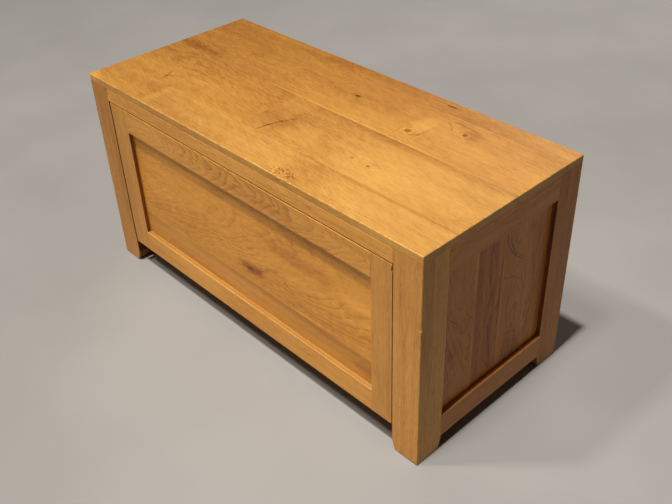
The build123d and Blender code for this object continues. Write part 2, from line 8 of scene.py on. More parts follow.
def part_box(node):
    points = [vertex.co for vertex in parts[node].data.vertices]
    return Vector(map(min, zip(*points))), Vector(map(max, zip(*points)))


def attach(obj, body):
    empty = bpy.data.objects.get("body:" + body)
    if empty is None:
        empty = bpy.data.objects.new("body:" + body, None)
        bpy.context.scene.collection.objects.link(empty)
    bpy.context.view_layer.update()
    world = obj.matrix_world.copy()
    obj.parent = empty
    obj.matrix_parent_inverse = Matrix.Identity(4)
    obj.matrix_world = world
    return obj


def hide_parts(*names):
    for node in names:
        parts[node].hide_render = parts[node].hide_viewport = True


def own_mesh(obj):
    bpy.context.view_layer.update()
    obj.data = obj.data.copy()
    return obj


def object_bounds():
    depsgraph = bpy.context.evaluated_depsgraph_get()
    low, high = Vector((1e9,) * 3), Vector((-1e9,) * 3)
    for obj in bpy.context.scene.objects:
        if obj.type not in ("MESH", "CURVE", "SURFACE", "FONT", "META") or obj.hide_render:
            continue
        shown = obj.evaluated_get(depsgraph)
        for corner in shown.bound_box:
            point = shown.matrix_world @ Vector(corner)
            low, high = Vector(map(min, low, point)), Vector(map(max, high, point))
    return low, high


# A low golden wooden chest with a framed drop-front flap. Metres, +X along its length, -Y the front, +Z up.
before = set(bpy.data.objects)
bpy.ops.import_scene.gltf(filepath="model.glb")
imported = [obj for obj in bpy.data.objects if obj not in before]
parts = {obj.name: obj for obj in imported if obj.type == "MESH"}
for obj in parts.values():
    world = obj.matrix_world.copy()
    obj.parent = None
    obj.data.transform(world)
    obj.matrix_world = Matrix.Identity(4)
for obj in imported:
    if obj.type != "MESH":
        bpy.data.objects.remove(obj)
cad_low, cad_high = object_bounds()
AXES = "xyz"


# Places on the chest's top, front and right side, measured from its front left corner on the floor
def on_top(x, y):
    return Vector((cad_low.x + x, cad_low.y + y, cad_high.z))


def on_front(x, z, inset=0.0):
    return Vector((cad_low.x + x, cad_low.y + inset, z))


def on_right(y, z, inset=0.0):
    return Vector((cad_high.x - inset, cad_low.y + y, z))


def union_box(*names):
    """The box round several CAD nodes."""
    boxes = [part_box(name) for name in names]
    low = Vector([min(box[0][axis] for box in boxes) for axis in range(3)])
    high = Vector([max(box[1][axis] for box in boxes) for axis in range(3)])
    return low, high


# Shader building
class Shader:
    """A material's node tree. Each call adds nodes and returns an output socket."""

    def __init__(self, name):
        self.material = bpy.data.materials.new(name)
        self.material.use_nodes = True
        self.tree = self.material.node_tree
        self.surface = self.tree.nodes["Principled BSDF"]
        self.place = self.add("ShaderNodeTexCoord").outputs["Object"]

    def add(self, kind, *inputs, **settings):
        node = self.tree.nodes.new(kind)
        for key, value in settings.items():
            setattr(node, key, value)
        for socket, value in zip(node.inputs, inputs):
            self.feed(socket, value)
        return node

    def feed(self, socket, value):
        if isinstance(value, bpy.types.NodeSocket):
            self.tree.links.new(value, socket)
        elif value is not None:
            socket.default_value = value

    def math(self, operation, *values, clamp=False):
        return self.add("ShaderNodeMath", *values, operation=operation, use_clamp=clamp).outputs[0]

    def plus(self, *values):
        total = values[0]
        for value in values[1:]:
            total = self.math("ADD", total, value)
        return total

    def times(self, first, second):
        return self.math("MULTIPLY", first, second)

    def vector(self, operation, *values):
        node = self.add("ShaderNodeVectorMath", *values, operation=operation)
        measure = operation in ("LENGTH", "DISTANCE", "DOT_PRODUCT")
        return node.outputs["Value" if measure else "Vector"]

    def split(self, vector):
        return self.add("ShaderNodeSeparateXYZ", vector).outputs

    def join(self, *values):
        return self.add("ShaderNodeCombineXYZ", *values).outputs[0]

    def shade(self, colour, amount):
        return self.vector("MULTIPLY", colour, self.join(amount, amount, amount))

    def smooth(self, value, low, high):
        """0 below low, 1 above high, and a soft step between."""
        node = self.add("ShaderNodeMapRange", value, low, high, 0.0, 1.0, interpolation_type="SMOOTHSTEP")
        return node.outputs[0]

    def noise(self, at, stretch, detail=2.0, seed=0.0, roughness=0.5):
        """Noise about 0, from about -0.5 to 0.5, whose features are 1/stretch metres on each axis."""
        moved = self.vector("MULTIPLY", at, stretch)
        moved = self.vector("ADD", moved, (seed * 1.7, seed * 3.1, seed * 5.3))
        node = self.add("ShaderNodeTexNoise", noise_dimensions="3D")
        self.feed(node.inputs["Vector"], moved)
        self.feed(node.inputs["Scale"], 1.0)
        self.feed(node.inputs["Detail"], detail)
        self.feed(node.inputs["Roughness"], roughness)
        return self.math("SUBTRACT", node.outputs["Fac"], 0.5)

    def ramp(self, value, *stops):
        node = self.add("ShaderNodeValToRGB", value)
        points = node.color_ramp.elements
        while len(points) < len(stops):
            points.new(0.5)
        for point, (place, colour) in zip(points, stops):
            point.position = place
            point.color = (*colour, 1.0)
        return node.outputs["Color"]

    def bump(self, height, distance):
        node = self.add("ShaderNodeBump")
        self.feed(node.inputs["Height"], height)
        self.feed(node.inputs["Distance"], distance)
        self.tree.links.new(node.outputs[0], self.surface.inputs["Normal"])

    def set(self, **values):
        for name, value in values.items():
            self.feed(self.surface.inputs[name.replace("_", " ")], value)

    def from_faces(self, low, high):
        """How far inside a box's nearer face a place is, on each axis."""
        from_low = self.vector("SUBTRACT", self.place, low)
        from_high = self.vector("SUBTRACT", high, self.place)
        return self.split(self.vector("MINIMUM", from_low, from_high))

    def edge_distance(self, low, high):
        """Distance from a point on a box's surface to the box's nearest edge."""
        x, y, z = self.from_faces(low, high)
        largest = self.math("MAXIMUM", self.math("MAXIMUM", x, y), z)
        return self.math("SUBTRACT", self.plus(x, y, z), largest)

    def in_oval(self, centre, radii):
        """Places measured from a centre, in units of an oval's radii."""
        return self.vector("DIVIDE", self.vector("SUBTRACT", self.place, centre), radii)


def linear(red, green, blue):
    """A display colour, 0 to 255, as linear light."""
    shares = [channel / 255 for channel in (red, green, blue)]
    return tuple(((share + 0.055) / 1.055) ** 2.4 if share > 0.04 else share / 12.92 for share in shares)


def paint(names, shader):
    """Give the CAD nodes one material."""
    for name in names:
        mesh = parts[name].data
        mesh.materials.clear()
        mesh.materials.append(shader.material)


# Marks on the wood, each a function of the shader that returns how much it darkens the place
def patch(centre, radii, amount, soft=0.6):
    """An oval patch: darker for a positive amount, lighter for a negative one."""

    def mark(shader, wobble):
        away = shader.vector("LENGTH", shader.in_oval(centre, radii))
        reach = shader.plus(away, shader.times(wobble, 0.5))
        return shader.times(shader.smooth(reach, 1.0, 1.0 - soft), amount)

    return mark


def within(low, high, amount, soft=0.0004):
    """A box-shaped zone with soft sides, such as one face of a piece."""

    def mark(shader, wobble):
        x, y, z = shader.from_faces(low, high)
        inside = shader.math("MINIMUM", shader.math("MINIMUM", x, y), z)
        return shader.times(shader.smooth(inside, 0.0, soft), amount)

    return mark


def streak(start, end, half_width, amount):
    """A narrow line between two points, such as a crack or a growth line, that fades at its ends."""
    along = Vector(end) - Vector(start)
    end_fade = 8.0

    def mark(shader, wobble):
        offset = shader.vector("SUBTRACT", shader.place, start)
        share = shader.times(shader.vector("DOT_PRODUCT", offset, along), 1 / along.length_squared)
        share = shader.math("ADD", share, 0.0, clamp=True)
        nearest = shader.vector("MULTIPLY", shader.join(share, share, share), along)
        beside = shader.vector("LENGTH", shader.vector("SUBTRACT", offset, nearest))
        reach = shader.plus(beside, shader.times(wobble, half_width))
        from_middle = shader.math("ABSOLUTE", shader.plus(share, share, -1.0))
        taper = shader.math("SUBTRACT", 1.0, shader.math("POWER", from_middle, end_fade))
        return shader.times(shader.times(shader.smooth(reach, half_width, 0.0), taper), amount)

    return mark


def knot(centre, radius, amount, grain, long=1.5, halo=0.0):
    """A knot: a ragged dark eye in broken rings, in a zone whose tone differs by halo.

    The wood bends its own rings round a mark that has a centre, a radius and radii.
    """
    radii = [radius, radius, radius]
    radii[AXES.index(grain)] *= long

    def mark(shader, wobble):
        away = shader.in_oval(centre, radii)
        ragged = shader.noise(away, (1.7, 1.7, 1.7), detail=3.0, seed=amount * 90, roughness=0.7)
        length = shader.vector("LENGTH", away)
        reach = shader.plus(length, shader.times(ragged, 1.5), shader.times(wobble, 0.4))
        eye = shader.times(shader.smooth(reach, 0.60, 0.15), amount)
        ring = shader.math("COSINE", shader.times(reach, 9.0))
        fade = shader.smooth(reach, 1.9, 0.5)
        broken = shader.times(shader.times(ring, fade), shader.smooth(ragged, -0.15, 0.25))
        return shader.plus(eye, shader.times(broken, amount * -0.85), shader.times(fade, halo))

    mark.centre = centre
    mark.radius = radius
    mark.radii = radii
    return mark


def speckle(centre, radii, amount):
    """A patch of broken grain: small dark holes with torn pale fibres beside them."""

    def mark(shader, wobble):
        inside = shader.smooth(shader.vector("LENGTH", shader.in_oval(centre, radii)), 1.0, 0.35)
        holes = shader.noise(shader.place, (170.0, 330.0, 330.0), detail=2.0, seed=5.0, roughness=0.6)
        dark = shader.times(shader.smooth(holes, 0.06, 0.16), amount)
        pale = shader.times(shader.smooth(holes, -0.10, -0.18), amount * -0.8)
        return shader.times(inside, shader.plus(dark, pale))

    return mark


# Wood: the colour of a film of dust, and how far the figure jumps along and across the grain at a glue seam
DUST = (0.145, 0.097, 0.031)
SEAM_JUMP = (3.7, 0.043)


def stretched(box, grain):
    """A box a metre longer at each end along the grain, so that a piece's ends don't count as arrises."""
    low, high = Vector(box[0]), Vector(box[1])
    low[AXES.index(grain)] -= 1.0
    high[AXES.index(grain)] += 1.0
    return low, high


def wood_colour(shader, value, tone):
    """The tone at 0.5, deeper and redder below it, and paler and yellower above."""
    red, green, blue = tone
    return shader.ramp(
        value,
        (0.0, (red * 0.15, green * 0.08, blue * 0.06)),
        (0.25, (red * 0.55, green * 0.41, blue * 0.33)),
        (0.5, tone),
        (0.75, (min(red * 1.36, 1.0), green * 1.46, blue * 1.65)),
        (1.0, (min(red * 1.65, 1.0), green * 1.95, blue * 2.7)),
    )


def wood(
    name,
    box,
    grain,
    tone,
    seed=0.0,
    pith=(0.03, -0.09),
    ring=0.0045,
    ring_depth=0.10,
    warp=0.05,
    slope=0.0,
    taper=0.0,
    streaky=0.22,
    mottle=0.0,
    skew=0.0,
    marks=(),
    seams=(),
    arris=None,
    worn_by=0.10,
    joint=0.0,
    dust=None,
    roughness=0.50,
):
    """Oiled wood cut from a log whose pith runs along the grain, off the piece's middle by pith.

    ring is the spacing of the rings, ring_depth their contrast and warp how far they wander. slope and
    taper let them run out along the grain. streaky and mottle are the strengths of long streaks and of
    short blotches, and skew is how much the blotches lean. seams are glue lines, each with its axis, its
    place and the change in tone past it. worn_by pales the arrises of the box arris, or else
    of the piece, as wear and as a painted highlight, and joint darkens the piece's long edges. dust is a
    mark whose amount is the share of the wood that a film of dust hides.
    """
    shader = Shader(name)
    low, high = box
    long_axis = AXES.index(grain)
    cross_axes = [axis for axis in range(3) if axis != long_axis]
    offset = shader.split(shader.vector("SUBTRACT", shader.place, (low + high) / 2))
    u, v, w = offset[long_axis], offset[cross_axes[0]], offset[cross_axes[1]]

    # Each lamination past a glue seam is another board: its figure jumps and its tone shifts
    seam_tone = 0.0
    for axis, place, change in seams:
        past = shader.math("GREATER_THAN", shader.split(shader.place)[AXES.index(axis)], place)
        u = shader.plus(u, shader.times(past, SEAM_JUMP[0]))
        v = shader.plus(v, shader.times(past, SEAM_JUMP[1]))
        seam_tone = shader.plus(seam_tone, shader.times(past, change))
    if slope:
        w = shader.plus(w, shader.times(u, -slope))
        v = shader.plus(v, shader.times(u, -slope))
    upright = shader.join(u, v, w)
    leaning = shader.join(u, shader.plus(v, shader.times(u, skew)), w)

    def figure(layer, along, across, at=upright, **settings):
        """Noise drawn out along the grain, with so many features a metre along and across it."""
        return shader.noise(at, (along, across, across), seed=seed + layer, **settings)

    # Annual rings, bent by slow warps along the log and round the knots
    drift = figure(0, 2.0, 4.0)
    ripple = figure(1, 13.0, 34.0)
    wobble = figure(2, 90.0, 130.0)
    from_pith = shader.join(shader.plus(v, -pith[0]), shader.plus(w, -pith[1]), 0.0)
    reach = shader.plus(
        shader.vector("LENGTH", from_pith),
        shader.times(drift, warp),
        shader.times(u, taper),
        shader.times(ripple, 0.012),
        shader.times(wobble, 0.0012),
    )
    for mark in marks:
        if hasattr(mark, "radius"):
            near = shader.in_oval(mark.centre, mark.radii)
            falloff = shader.math("EXPONENT", shader.times(shader.vector("DOT_PRODUCT", near, near), -0.25))
            reach = shader.plus(reach, shader.times(falloff, mark.radius * 1.6))
    uneven = shader.noise(shader.join(reach, 0.0, 0.0), (90.0, 1.0, 1.0), seed=seed + 3)
    phase = shader.math("FRACT", shader.plus(shader.times(reach, 1 / ring), shader.times(uneven, 2.6)))
    late = shader.times(shader.math("POWER", phase, 2.0), shader.smooth(phase, 1.0, 0.8))
    shown = shader.smooth(figure(4, 3.0, 13.0), -0.12, 0.22)
    rings = shader.times(late, shader.plus(shader.times(shown, 0.85), 0.15))

    # Tone, streaks, short flecks, fibres and open pores, all drawn out along the grain
    cloud = figure(5, 3.0, 11.0, detail=3.0)
    bands = figure(6, 1.6, 60.0, detail=3.0)
    fibres = figure(7, 16.0, 700.0, detail=2.0)
    pore_noise = figure(8, 110.0, 1500.0, detail=0.0)
    flecks = figure(9, 42.0, 330.0, at=leaning, detail=2.0)
    blotches = figure(10, 26.0, 60.0, at=leaning, detail=3.0, roughness=0.6)
    pores = shader.times(shader.smooth(pore_noise, 0.10, 0.20), shader.plus(shader.times(late, 0.7), 0.3))

    darker = shader.plus(
        shader.times(rings, ring_depth),
        shader.times(cloud, 0.30),
        shader.times(bands, streaky),
        shader.times(blotches, mottle),
        shader.times(flecks, shader.plus(shader.times(shown, 0.18), 0.15)),
        shader.times(fibres, 0.27),
        shader.times(pores, 0.16),
        seam_tone,
    )
    for mark in marks:
        darker = shader.plus(darker, mark(shader, wobble))

    # Arrises paled by wear and by a painted highlight, and the dark line of a glued joint with the next
    # board
    own_edges = stretched(box, grain)
    edge = shader.edge_distance(*(arris or own_edges))
    worn = shader.smooth(shader.plus(edge, shader.times(wobble, 0.003)), 0.0022, 0.0004)
    darker = shader.plus(darker, shader.times(worn, -worn_by))
    if joint:
        beside = shader.smooth(shader.edge_distance(*own_edges), 0.0011, 0.0003)
        darker = shader.plus(darker, shader.times(beside, joint))

    colour = wood_colour(shader, shader.math("SUBTRACT", 0.5, darker, clamp=True), tone)
    if dust:
        film = dust(shader, wobble)
        bare = shader.shade(colour, shader.plus(1.0, shader.times(film, -1.0)))
        colour = shader.vector("ADD", bare, shader.shade(DUST, film))
    rough = shader.plus(
        roughness,
        shader.times(cloud, 0.12),
        shader.times(fibres, 0.15),
        shader.times(pores, 0.2),
    )
    shader.set(Base_Color=colour, Roughness=rough, Specular_IOR_Level=0.32)
    relief = shader.plus(shader.times(pores, -0.8), shader.times(fibres, 0.5), shader.times(rings, -0.35))
    shader.bump(relief, 0.00022)
    return shader


def board(name, grain, tone, **settings):
    """Paint one CAD node as a board, with its own material fitted to its box."""
    paint([name], wood(name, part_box(name), grain, tone, **settings))


# Tones of the boards
GOLD = linear(192, 142, 69)
ORANGE = linear(188, 135, 62)
HONEY = linear(199, 142, 67)
WARM_HONEY = linear(212, 150, 68)
CHESTNUT = linear(193, 128, 60)
AMBER = linear(216, 150, 61)
SIDE_AMBER = linear(188, 122, 54)
RUSSET = linear(178, 110, 43)
RUST_GOLD = linear(200, 138, 60)
PLYWOOD = linear(196, 168, 122)
SAWN_PINE = linear(190, 150, 96)

# The top. Its arris box goes on downwards, so that only the edges of the upper face count as paled arrises
top_low, top_high = union_box("top_board_front_left", "top_board_front_right", "top_board_back_edge")
top_arris = (Vector((top_low.x, top_low.y, top_low.z - 1.0)), top_high)
THROUGH_TOP = Vector((0.0, 0.0, 0.03))
# The depths below the upper face between which the top's front edge shows its tone
EDGE_TOP = Vector((0.0, 0.0, 0.0022))
EDGE_BOTTOM = Vector((0.0, 0.0, 0.014))


def front_edge(start, end, amount):
    """The front edge of the top below its paled arris, from one X to another."""
    low = on_top(start, -0.002) - EDGE_BOTTOM
    high = on_top(end, 0.0008) - EDGE_TOP
    return within(low, high, amount, soft=0.0008)


top_boards = {
    "top_board_front_left": dict(
        tone=ORANGE,
        seed=11.0,
        pith=(0.02, -0.07),
        marks=[
            patch(on_top(0.200, 0.045), (0.05, 0.08, 0.05), 0.02),
            patch(on_top(0.0, 0.0), (0.055, 0.035, 0.02), -0.20, soft=0.8),
            front_edge(0.0, 0.205, -0.02),
        ],
    ),
    "top_board_front_right": dict(
        tone=GOLD,
        seed=23.0,
        pith=(0.10, -0.06),
        marks=[
            speckle(on_top(0.660, 0.012), (0.040, 0.024, 0.02), 0.60),
            patch(on_top(0.690, 0.045), (0.07, 0.05, 0.05), 0.09),
            patch(on_top(0.240, 0.045), (0.36, 0.20, 0.05), 0.06, soft=1.0),
            patch(on_top(0.200, 0.045), (0.030, 0.06, 0.05), -0.06),
            patch(on_top(0.850, 0.088), (0.36, 0.010, 0.05), 0.09),
            patch(on_top(0.900, 0.020), (0.16, 0.03, 0.05), -0.05),
            front_edge(0.195, 0.480, -0.04),
            front_edge(0.900, 1.025, -0.06),
        ],
    ),
    "top_board_middle_left": dict(
        tone=ORANGE,
        seed=31.0,
        pith=(0.01, -0.09),
        warp=0.09,
        marks=[
            streak(on_top(0.132, 0.140), on_top(0.152, 0.096), 0.006, 0.16),
            streak(on_top(0.142, 0.112), on_top(0.180, 0.140), 0.006, 0.12),
            patch(on_top(0.443, 0.170), (0.05, 0.10, 0.05), 0.02),
            patch(on_top(0.0, 0.240), (0.50, 0.16, 0.05), 0.06, soft=1.0),
            patch(on_top(0.380, 0.240), (0.34, 0.16, 0.05), 0.045, soft=1.0),
        ],
    ),
    "top_board_middle_right": dict(
        tone=GOLD,
        seed=47.0,
        pith=(-0.12, -0.07),
        marks=[
            patch(on_top(0.440, 0.170), (0.36, 0.22, 0.05), 0.15, soft=1.0),
            within(
                on_top(0.430, 0.095) - THROUGH_TOP,
                on_top(0.511, 0.260) + THROUGH_TOP,
                -0.035,
                soft=0.010,
            ),
            streak(on_top(0.489, 0.090), on_top(0.495, 0.125), 0.0034, 0.20),
            streak(on_top(0.493, 0.115), on_top(0.504, 0.152), 0.0036, 0.20),
            streak(on_top(0.501, 0.142), on_top(0.520, 0.180), 0.0034, 0.15),
            patch(on_top(0.575, 0.135), (0.07, 0.05, 0.05), -0.09),
            patch(on_top(0.800, 0.140), (0.30, 0.05, 0.05), -0.05),
            knot(on_top(0.757, 0.140), 0.0075, 0.30, "x"),
            knot(on_top(0.712, 0.142), 0.0055, 0.24, "x"),
            patch(on_top(0.860, 0.247), (0.46, 0.026, 0.05), 0.15, soft=0.9),
            streak(on_top(0.640, 0.090), on_top(0.668, 0.088), 0.0020, 0.30),
        ],
    ),
    "top_board_rear": dict(
        tone=ORANGE,
        seed=59.0,
        pith=(0.0, -0.08),
        warp=0.09,
        marks=[
            knot(on_top(0.716, 0.292), 0.016, 0.26, "x", long=1.1, halo=-0.02),
            knot(on_top(0.812, 0.352), 0.012, 0.26, "x", long=1.2),
            patch(on_top(0.826, 0.362), (0.030, 0.026, 0.05), 0.13, soft=0.7),
            patch(on_top(0.400, 0.400), (0.70, 0.13, 0.05), 0.08, soft=1.0),
            knot(on_top(0.535, 0.334), 0.0090, 0.32, "x", halo=0.03),
            patch(on_top(0.728, 0.330), (0.035, 0.040, 0.05), -0.10),
            streak(on_top(0.728, 0.280), on_top(0.748, 0.296), 0.0034, 0.16),
            streak(on_top(0.744, 0.288), on_top(0.750, 0.340), 0.0036, 0.16),
            streak(on_top(0.700, 0.275), on_top(0.694, 0.305), 0.0030, 0.12),
            streak(on_top(0.752, 0.376), on_top(0.784, 0.350), 0.0040, 0.12),
            streak(on_top(0.760, 0.384), on_top(0.826, 0.378), 0.0050, 0.13),
            patch(on_top(0.050, 0.262), (0.16, 0.026, 0.05), 0.14, soft=0.8),
            patch(on_top(0.0, 0.330), (0.65, 0.13, 0.05), 0.09, soft=1.0),
            patch(on_top(0.640, 0.248), (0.40, 0.0055, 0.05), -0.13),
        ],
    ),
    "top_board_back_edge": dict(
        tone=ORANGE,
        seed=71.0,
        pith=(0.08, -0.05),
        marks=[
            patch(on_top(0.420, 0.448), (1.20, 0.14, 0.05), 0.15, soft=1.0),
            streak(on_top(0.703, 0.428), on_top(0.728, 0.429), 0.0034, 0.42),
            knot(on_top(0.493, 0.408), 0.0035, 0.30, "x"),
            knot(on_top(0.412, 0.441), 0.0040, 0.30, "x"),
        ],
    ),
}
for name, settings in top_boards.items():
    board(
        name,
        "x",
        arris=top_arris,
        worn_by=0.30,
        roughness=0.42,
        mottle=0.17,
        skew=0.35,
        streaky=0.12,
        joint=0.05,
        **settings,
    )


# Legs and rails: how thick the painted shade of a face counts as, how deep it reaches into gaps and inner
# corners, and where the glue seam of each leg lies, behind its front face
SKIN = 0.0007
GAP_DEPTH = 0.025
CORNER_DEPTH = 0.010
LEG_SEAM = 0.031


def shade_and_dust_face(name, axis, side, amount=0.30, reach=None):
    """One face of a piece, reach deep from the front, as painted shade in a gap or inner corner, or as
    dust.
    """
    low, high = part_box(name)
    index = AXES.index(axis)
    if reach:
        high.y = min(high.y, low.y + reach)
    if side == "low":
        high[index] = low[index] + SKIN
        low[index] -= SKIN
    else:
        low[index] = high[index] - SKIN
        high[index] += SKIN
    for other in range(3):
        if other != index:
            low[other] += SKIN
            high[other] -= SKIN
    return within(low, high, amount)


# Each leg's first mark is painted shade on its face in a gap or in the side panel's recess.
leg_marks = {
    "front_left_leg": [
        shade_and_dust_face("front_left_leg", "x", "high", reach=GAP_DEPTH),
        # Painted shade on the leg's inner face under the chest.
        within(on_front(0.040, -0.01, 0.003), on_front(0.072, 0.064, 0.080), 0.33, soft=0.003),
        # Painted shade: the leg's front darker where the light falls off towards the left.
        patch(on_front(0.030, 0.250), (0.06, 0.02, 0.60), 0.10, soft=0.3),
    ],
    "front_right_leg": [
        shade_and_dust_face("front_right_leg", "x", "low", reach=GAP_DEPTH),
        within(on_front(0.974, 0.0, -0.01), on_front(0.986, 0.5, 0.002), 0.07, soft=0.004),
        patch(on_front(1.020, 0.345), (0.004, 0.004, 0.007), -0.35),
    ],
    "back_left_leg": [shade_and_dust_face("back_left_leg", "y", "low")],
    "back_right_leg": [
        shade_and_dust_face("back_right_leg", "y", "low"),
        patch(on_right(0.414, 0.250), (0.01, 0.10, 0.60), 0.10, soft=0.3),
    ],
}
for index, (name, marks) in enumerate(leg_marks.items()):
    board(
        name,
        "z",
        tone=CHESTNUT if "back" in name else HONEY,
        seed=100.0 + 7 * index,
        pith=(0.045, -0.04),
        ring=0.0042,
        ring_depth=0.15,
        taper=0.035,
        warp=0.04,
        seams=[("y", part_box(name)[0].y + LEG_SEAM, -0.09)],
        marks=marks,
    )

long_rails = ("front_top_rail", "flap_stop_rail", "front_bottom_rail", "back_top_rail", "back_bottom_rail")
# Painted shade on the front top rail's underside over the flap's gap.
rail_marks = {"front_top_rail": [shade_and_dust_face("front_top_rail", "z", "low", reach=GAP_DEPTH)]}
for index, name in enumerate(long_rails):
    board(
        name,
        "x",
        tone=WARM_HONEY,
        seed=140.0 + 7 * index,
        pith=(0.07, 0.03),
        marks=rail_marks.get(name, ()),
    )
for index, name in enumerate(("left_top_rail", "left_bottom_rail", "right_top_rail", "right_bottom_rail")):
    board(
        name,
        "y",
        tone=CHESTNUT,
        seed=180.0 + 7 * index,
        pith=(0.06, 0.04),
        ring_depth=0.15,
        # The bottom rails' arrises pale further: a painted highlight along their lit ledge.
        worn_by=0.45 if "bottom" in name else 0.12,
    )


# Side and back panels. Each look is for one board of a side panel, from the front to the back
SIDE_PANEL_INSET = 0.011
panel_looks = (
    dict(
        tone=SIDE_AMBER,
        pith=(0.07, 0.012),
        ring=0.0050,
        ring_depth=0.22,
        warp=0.06,
        taper=0.04,
        slope=-0.10,
    ),
    dict(tone=RUSSET, pith=(0.16, 0.060), ring=0.0050, ring_depth=0.22, warp=0.05, streaky=0.40),
    dict(tone=SIDE_AMBER, pith=(0.04, 0.006), ring=0.0048, ring_depth=0.34, warp=0.09, taper=0.05),
    dict(tone=SIDE_AMBER, pith=(0.09, -0.030), ring=0.0060, ring_depth=0.20, warp=0.07, streaky=0.30),
)
# Dark growth lines on the right panel, as Y and Z along each line, with a half width and an amount
panel_lines = {
    "right_panel_board_1": [
        (((0.093, 0.303), (0.112, 0.283)), 0.0023, 0.20),
        (((0.118, 0.387), (0.128, 0.347)), 0.0021, 0.14),
        (((0.135, 0.302), (0.143, 0.284), (0.158, 0.270)), 0.0023, 0.16),
        (((0.092, 0.236), (0.104, 0.205)), 0.0051, 0.10),
    ],
    "right_panel_board_2": [
        (((0.202, 0.420), (0.200, 0.367), (0.208, 0.292)), 0.0028, 0.24),
        (((0.207, 0.222), (0.211, 0.180), (0.220, 0.128), (0.226, 0.100)), 0.0028, 0.24),
        (((0.196, 0.145), (0.207, 0.123), (0.222, 0.103)), 0.0023, 0.18),
        (((0.230, 0.330), (0.234, 0.270), (0.234, 0.205)), 0.0028, 0.20),
        (((0.176, 0.322), (0.178, 0.290)), 0.0076, 0.12),
    ],
    "right_panel_board_3": [
        (((0.243, 0.424), (0.247, 0.390), (0.260, 0.370), (0.277, 0.350), (0.299, 0.331)), 0.0033, 0.24),
        (((0.252, 0.424), (0.256, 0.390), (0.273, 0.362), (0.305, 0.333)), 0.0030, 0.20),
        (((0.262, 0.424), (0.268, 0.396), (0.284, 0.372)), 0.0025, 0.12),
        (((0.242, 0.318), (0.256, 0.307), (0.276, 0.303), (0.293, 0.287)), 0.0038, 0.15),
        (((0.265, 0.262), (0.262, 0.232), (0.270, 0.190)), 0.0025, 0.15),
        (((0.249, 0.145), (0.265, 0.160), (0.290, 0.160), (0.308, 0.143)), 0.0033, 0.10),
    ],
    "right_panel_board_4": [
        (((0.322, 0.219), (0.329, 0.203)), 0.0023, 0.20),
        (((0.345, 0.420), (0.348, 0.340)), 0.0021, 0.10),
    ],
}
# Its darker and paler patches, as Y and Z of the centre, the radii along Y and Z, and an amount
panel_patches = {
    "right_panel_board_1": [
        ((0.110, 0.205), (0.035, 0.040), 0.05),
        ((0.160, 0.378), (0.005, 0.060), -0.16),
    ],
    "right_panel_board_3": [
        ((0.282, 0.118), (0.040, 0.048), 0.13),
        ((0.240, 0.270), (0.0045, 0.160), -0.14),
    ],
    "right_panel_board_4": [
        ((0.318, 0.395), (0.016, 0.022), 0.12),
        ((0.319, 0.195), (0.0045, 0.070), -0.13),
    ],
}


def panel_marks(name):
    """The patches and growth lines that a side panel's board has."""
    blotches = [
        patch(on_right(*centre, SIDE_PANEL_INSET), (0.02, *radii), amount)
        for centre, radii, amount in panel_patches.get(name, ())
    ]
    lines = [
        streak(on_right(*start, SIDE_PANEL_INSET), on_right(*end, SIDE_PANEL_INSET), half_width, amount)
        for path, half_width, amount in panel_lines.get(name, ())
        for start, end in zip(path, path[1:])
    ]
    return blotches + lines


def sapwood(name):
    """The paler rear edge of a side panel's first board."""
    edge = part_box(name)[1]
    return patch((edge.x, edge.y, 0.25), (0.1, 0.007, 0.4), -0.07, soft=0.3)


for index, side in enumerate(("left", "right")):
    for count, look in enumerate(panel_looks):
        name = f"{side}_panel_board_{count + 1}"
        rear_edge = [sapwood(name)] if count == 0 else []
        seed = 224.0 + 11 * count + 50 * index
        board(name, "z", seed=seed, marks=rear_edge + panel_marks(name), joint=0.22, **look)
for index, name in enumerate(("back_panel_lower_board", "back_panel_upper_board")):
    board(name, "x", tone=AMBER, seed=330.0 + 9 * index, pith=(0.08, 0.02), warp=0.07)


# The flap, whose panel is set back from the front face
FLAP_PANEL_INSET = 0.01


def on_flap_panel(x, z):
    """A place on the flap's panel."""
    return on_front(x, z, FLAP_PANEL_INSET)


board(
    "flap_left_stile",
    "z",
    tone=HONEY,
    seed=401.0,
    pith=(0.05, 0.06),
    # Painted shade on the stile's face in the gap to the leg, and on its face in the panel's recess.
    marks=[
        shade_and_dust_face("flap_left_stile", "x", "low"),
        shade_and_dust_face("flap_left_stile", "x", "high", reach=CORNER_DEPTH),
    ],
)
board(
    "flap_right_stile",
    "z",
    tone=HONEY,
    seed=409.0,
    pith=(-0.05, 0.07),
    # Painted shade on the stile's face in the gap to the leg.
    marks=[shade_and_dust_face("flap_right_stile", "x", "high")],
)
board(
    "flap_bottom_rail",
    "x",
    tone=WARM_HONEY,
    seed=419.0,
    pith=(0.07, 0.05),
    dust=shade_and_dust_face("flap_bottom_rail", "z", "high", amount=0.6, reach=CORNER_DEPTH),
)
board(
    "flap_top_rail",
    "x",
    tone=WARM_HONEY,
    seed=431.0,
    pith=(0.065, 0.004),
    warp=0.03,
    ring=0.0036,
    ring_depth=0.28,
    taper=0.12,
    # Painted shade on the rail's top face in the gap under the front top rail, and on its underside over
    # the recess.
    marks=[
        shade_and_dust_face("flap_top_rail", "z", "high"),
        shade_and_dust_face("flap_top_rail", "z", "low", reach=CORNER_DEPTH),
    ],
)
board(
    "flap_panel_lower_board",
    "x",
    tone=RUST_GOLD,
    seed=443.0,
    pith=(0.08, 0.07),
    warp=0.05,
    marks=[
        patch(on_flap_panel(0.700, 0.180), (0.50, 0.030, 0.022), 0.10, soft=0.8),
        patch(on_flap_panel(0.880, 0.150), (0.05, 0.022, 0.022), 0.10),
    ],
)
